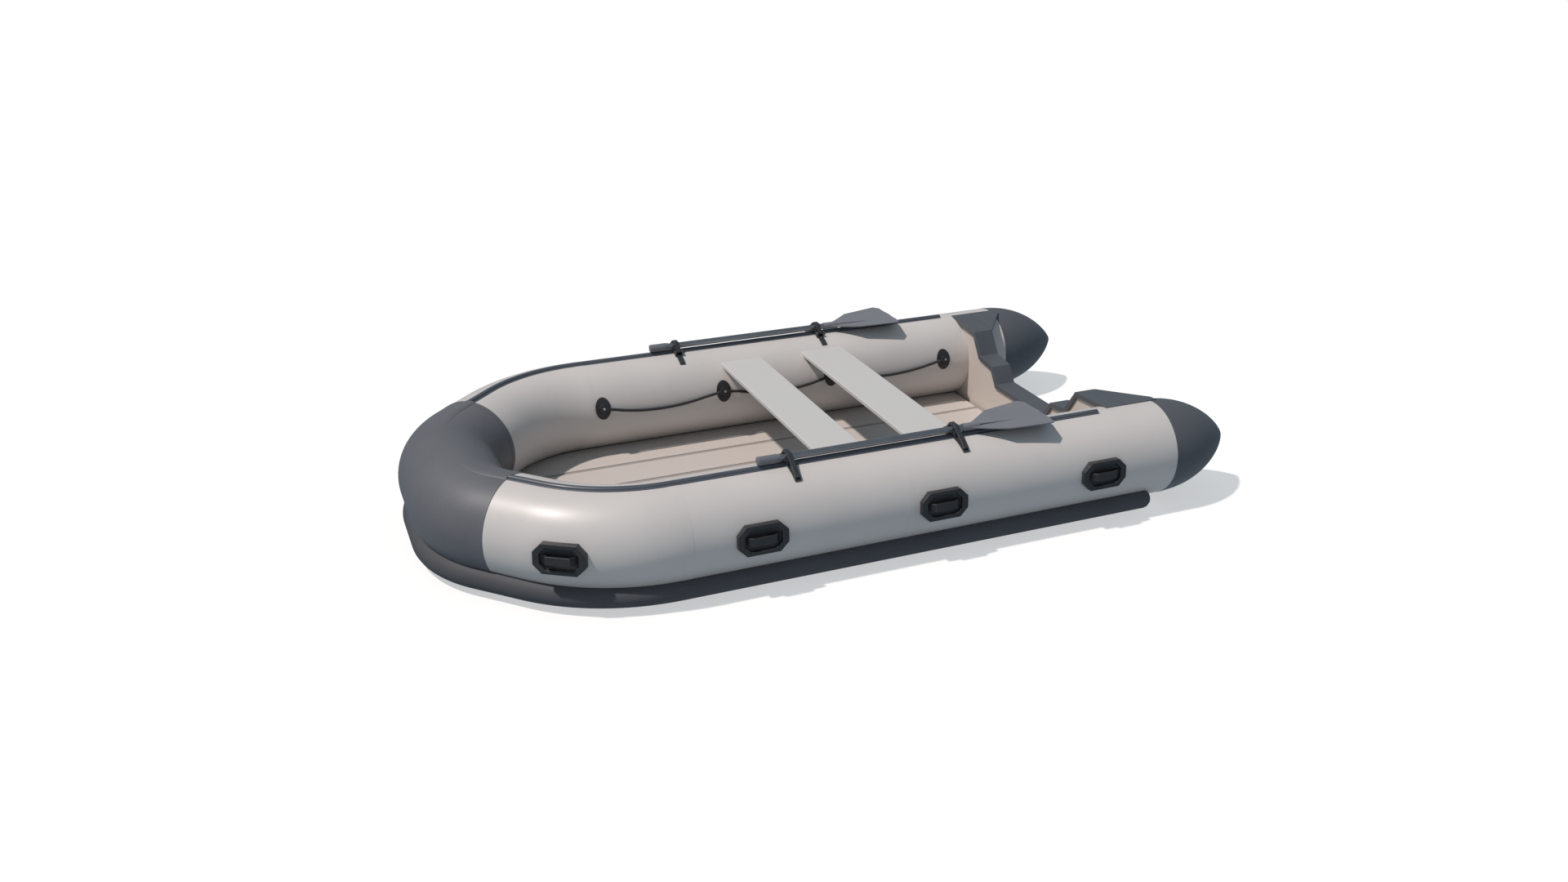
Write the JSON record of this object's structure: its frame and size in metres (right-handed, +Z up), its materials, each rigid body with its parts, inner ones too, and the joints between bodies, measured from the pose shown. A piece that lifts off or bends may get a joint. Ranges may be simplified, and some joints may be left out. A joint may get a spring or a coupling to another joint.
{
  "type": "inflatable dinghy",
  "caption": "Inflatable dinghy with air tubes bent round the bow, pointed stern cones, a board floor, plank benches, a notched transom for an outboard motor and stowed oars.",
  "frame": {"origin": "on the ground under the middle of the boat's length and beam", "axes": "+X towards the bow, +Y to port, +Z up"},
  "size_m": [3.6, 1.9524, 0.5079],
  "materials": {
    "hull_fabric": "satin",
    "dark_fabric": "matte",
    "strip_rubber": "satin",
    "strake_fender": "satin",
    "floor_wood": "satin",
    "joiner_plastic": "matte",
    "batten_wood": "matte",
    "transom_wood": "satin",
    "cap_plastic": "matte",
    "bench_wood": "satin",
    "handle_rubber": "satin",
    "clip_plastic": "satin",
    "rope_fabric": "matte",
    "bright_steel": "satin",
    "shaft_aluminium": "satin",
    "grip_plastic": "satin",
    "blade_plastic": "satin",
    "valve_plastic": "satin"
  },
  "bodies": {
    "hull": {"bench_rests": "strip_rubber", "bow_cover": "dark_fabric", "bow_rub_strake": "strake_fender", "bow_tube": "hull_fabric", "bow_valve": "valve_plastic", "centre_floor_board": "floor_wood", "chamber_bulkheads": "hull_fabric", "clip_pins": "bright_steel", "drain_socket": "valve_plastic", "floor_battens": "batten_wood", "floor_joiners": "joiner_plastic", "hull_bottom": "dark_fabric", "keel_tube": "dark_fabric", "motor_pad": "cap_plastic", "port_clip_bases": "clip_plastic", "port_deck_plate": "cap_plastic", "port_grab_rope": "rope_fabric", "port_handles": "handle_rubber", "port_inner_floor_board": "floor_wood", "port_outer_floor_board": "floor_wood", "port_rope_patches": "handle_rubber", "port_rub_strake": "strake_fender", "port_shoulder_tube": "hull_fabric", "port_side_tube": "hull_fabric", "port_stern_cone": "dark_fabric", "port_top_strip": "strip_rubber", "port_valve": "valve_plastic", "rope_eyes": "bright_steel", "starboard_clip_bases": "clip_plastic", "starboard_deck_plate": "cap_plastic", "starboard_grab_rope": "rope_fabric", "starboard_handles": "handle_rubber", "starboard_inner_floor_board": "floor_wood", "starboard_outer_floor_board": "floor_wood", "starboard_rope_patches": "handle_rubber", "starboard_rub_strake": "strake_fender", "starboard_shoulder_tube": "hull_fabric", "starboard_side_tube": "hull_fabric", "starboard_stern_cone": "dark_fabric", "starboard_top_strip": "strip_rubber", "starboard_valve": "valve_plastic", "transom_board": "transom_wood", "transom_cap": "cap_plastic", "transom_holders": "strip_rubber"},
    "port_oar": {"port_oar_shaft": "shaft_aluminium", "port_oar_grip": "grip_plastic", "port_oar_blade": "blade_plastic"},
    "starboard_oar": {"starboard_oar_shaft": "shaft_aluminium", "starboard_oar_grip": "grip_plastic", "starboard_oar_blade": "blade_plastic"},
    "port_front_keeper_body": {"port_front_keeper": "clip_plastic"},
    "port_rear_keeper_body": {"port_rear_keeper": "clip_plastic"},
    "starboard_front_keeper_body": {"starboard_front_keeper": "clip_plastic"},
    "starboard_rear_keeper_body": {"starboard_rear_keeper": "clip_plastic"},
    "front_bench_body": {"front_bench": "bench_wood"},
    "rear_bench_body": {"rear_bench": "bench_wood"},
    "port_valve_cap_body": {"port_valve_cap": "valve_plastic"},
    "starboard_valve_cap_body": {"starboard_valve_cap": "valve_plastic"},
    "bow_valve_cap_body": {"bow_valve_cap": "valve_plastic"},
    "drain_plug_body": {"drain_plug": "valve_plastic"}
  },
  "joints": [
    {"name": "port_oar_lift", "type": "slide", "parent": "hull", "child": "port_oar", "axis": [0, 0, 1], "range_m": [0, 0.09]},
    {"name": "port_front_keeper_hinge", "type": "hinge", "parent": "hull", "child": "port_front_keeper_body", "pos_m": [0.366, 0.6755, 0.47], "axis": [1, 0, 0], "range_deg": [0, 115]},
    {"name": "port_rear_keeper_hinge", "type": "hinge", "parent": "hull", "child": "port_rear_keeper_body", "pos_m": [-0.391, 0.6755, 0.47], "axis": [1, 0, 0], "range_deg": [0, 115]},
    {"name": "starboard_oar_lift", "type": "slide", "parent": "hull", "child": "starboard_oar", "axis": [0, 0, 1], "range_m": [0, 0.09]},
    {"name": "starboard_front_keeper_hinge", "type": "hinge", "parent": "hull", "child": "starboard_front_keeper_body", "pos_m": [0.366, -0.6755, 0.47], "axis": [-1, 0, 0], "range_deg": [0, 115]},
    {"name": "starboard_rear_keeper_hinge", "type": "hinge", "parent": "hull", "child": "starboard_rear_keeper_body", "pos_m": [-0.391, -0.6755, 0.47], "axis": [-1, 0, 0], "range_deg": [0, 115]},
    {"name": "front_bench_lift", "type": "slide", "parent": "hull", "child": "front_bench_body", "axis": [0, 0, 1], "range_m": [0, 0.15]},
    {"name": "rear_bench_lift", "type": "slide", "parent": "hull", "child": "rear_bench_body", "axis": [0, 0, 1], "range_m": [0, 0.15]},
    {"name": "port_valve_cap_turn", "type": "hinge", "parent": "hull", "child": "port_valve_cap_body", "pos_m": [-1.349, 0.51707, 0.21043], "axis": [0, -0.9903, -0.1392], "range_deg": [0, 90]},
    {"name": "starboard_valve_cap_turn", "type": "hinge", "parent": "hull", "child": "starboard_valve_cap_body", "pos_m": [-1.349, -0.51707, 0.21043], "axis": [0, 0.9903, -0.1392], "range_deg": [0, 90]},
    {"name": "bow_valve_cap_turn", "type": "hinge", "parent": "hull", "child": "bow_valve_cap_body", "pos_m": [1.0373, 0.48273, 0.24742], "axis": [-0.3905, -0.9199, 0.0349], "range_deg": [0, 90]},
    {"name": "drain_plug_turn", "type": "hinge", "parent": "hull", "child": "drain_plug_body", "pos_m": [-1.265, 0.18, 0.08], "axis": [-1, 0, 0], "range_deg": [0, 90]}
  ],
  "couplings": [
    {"joint": "port_front_keeper_hinge", "follows": "port_oar_lift", "rad_per_m": 22.3},
    {"joint": "port_rear_keeper_hinge", "follows": "port_oar_lift", "rad_per_m": 22.3},
    {"joint": "starboard_front_keeper_hinge", "follows": "starboard_oar_lift", "rad_per_m": 22.3},
    {"joint": "starboard_rear_keeper_hinge", "follows": "starboard_oar_lift", "rad_per_m": 22.3}
  ]
}
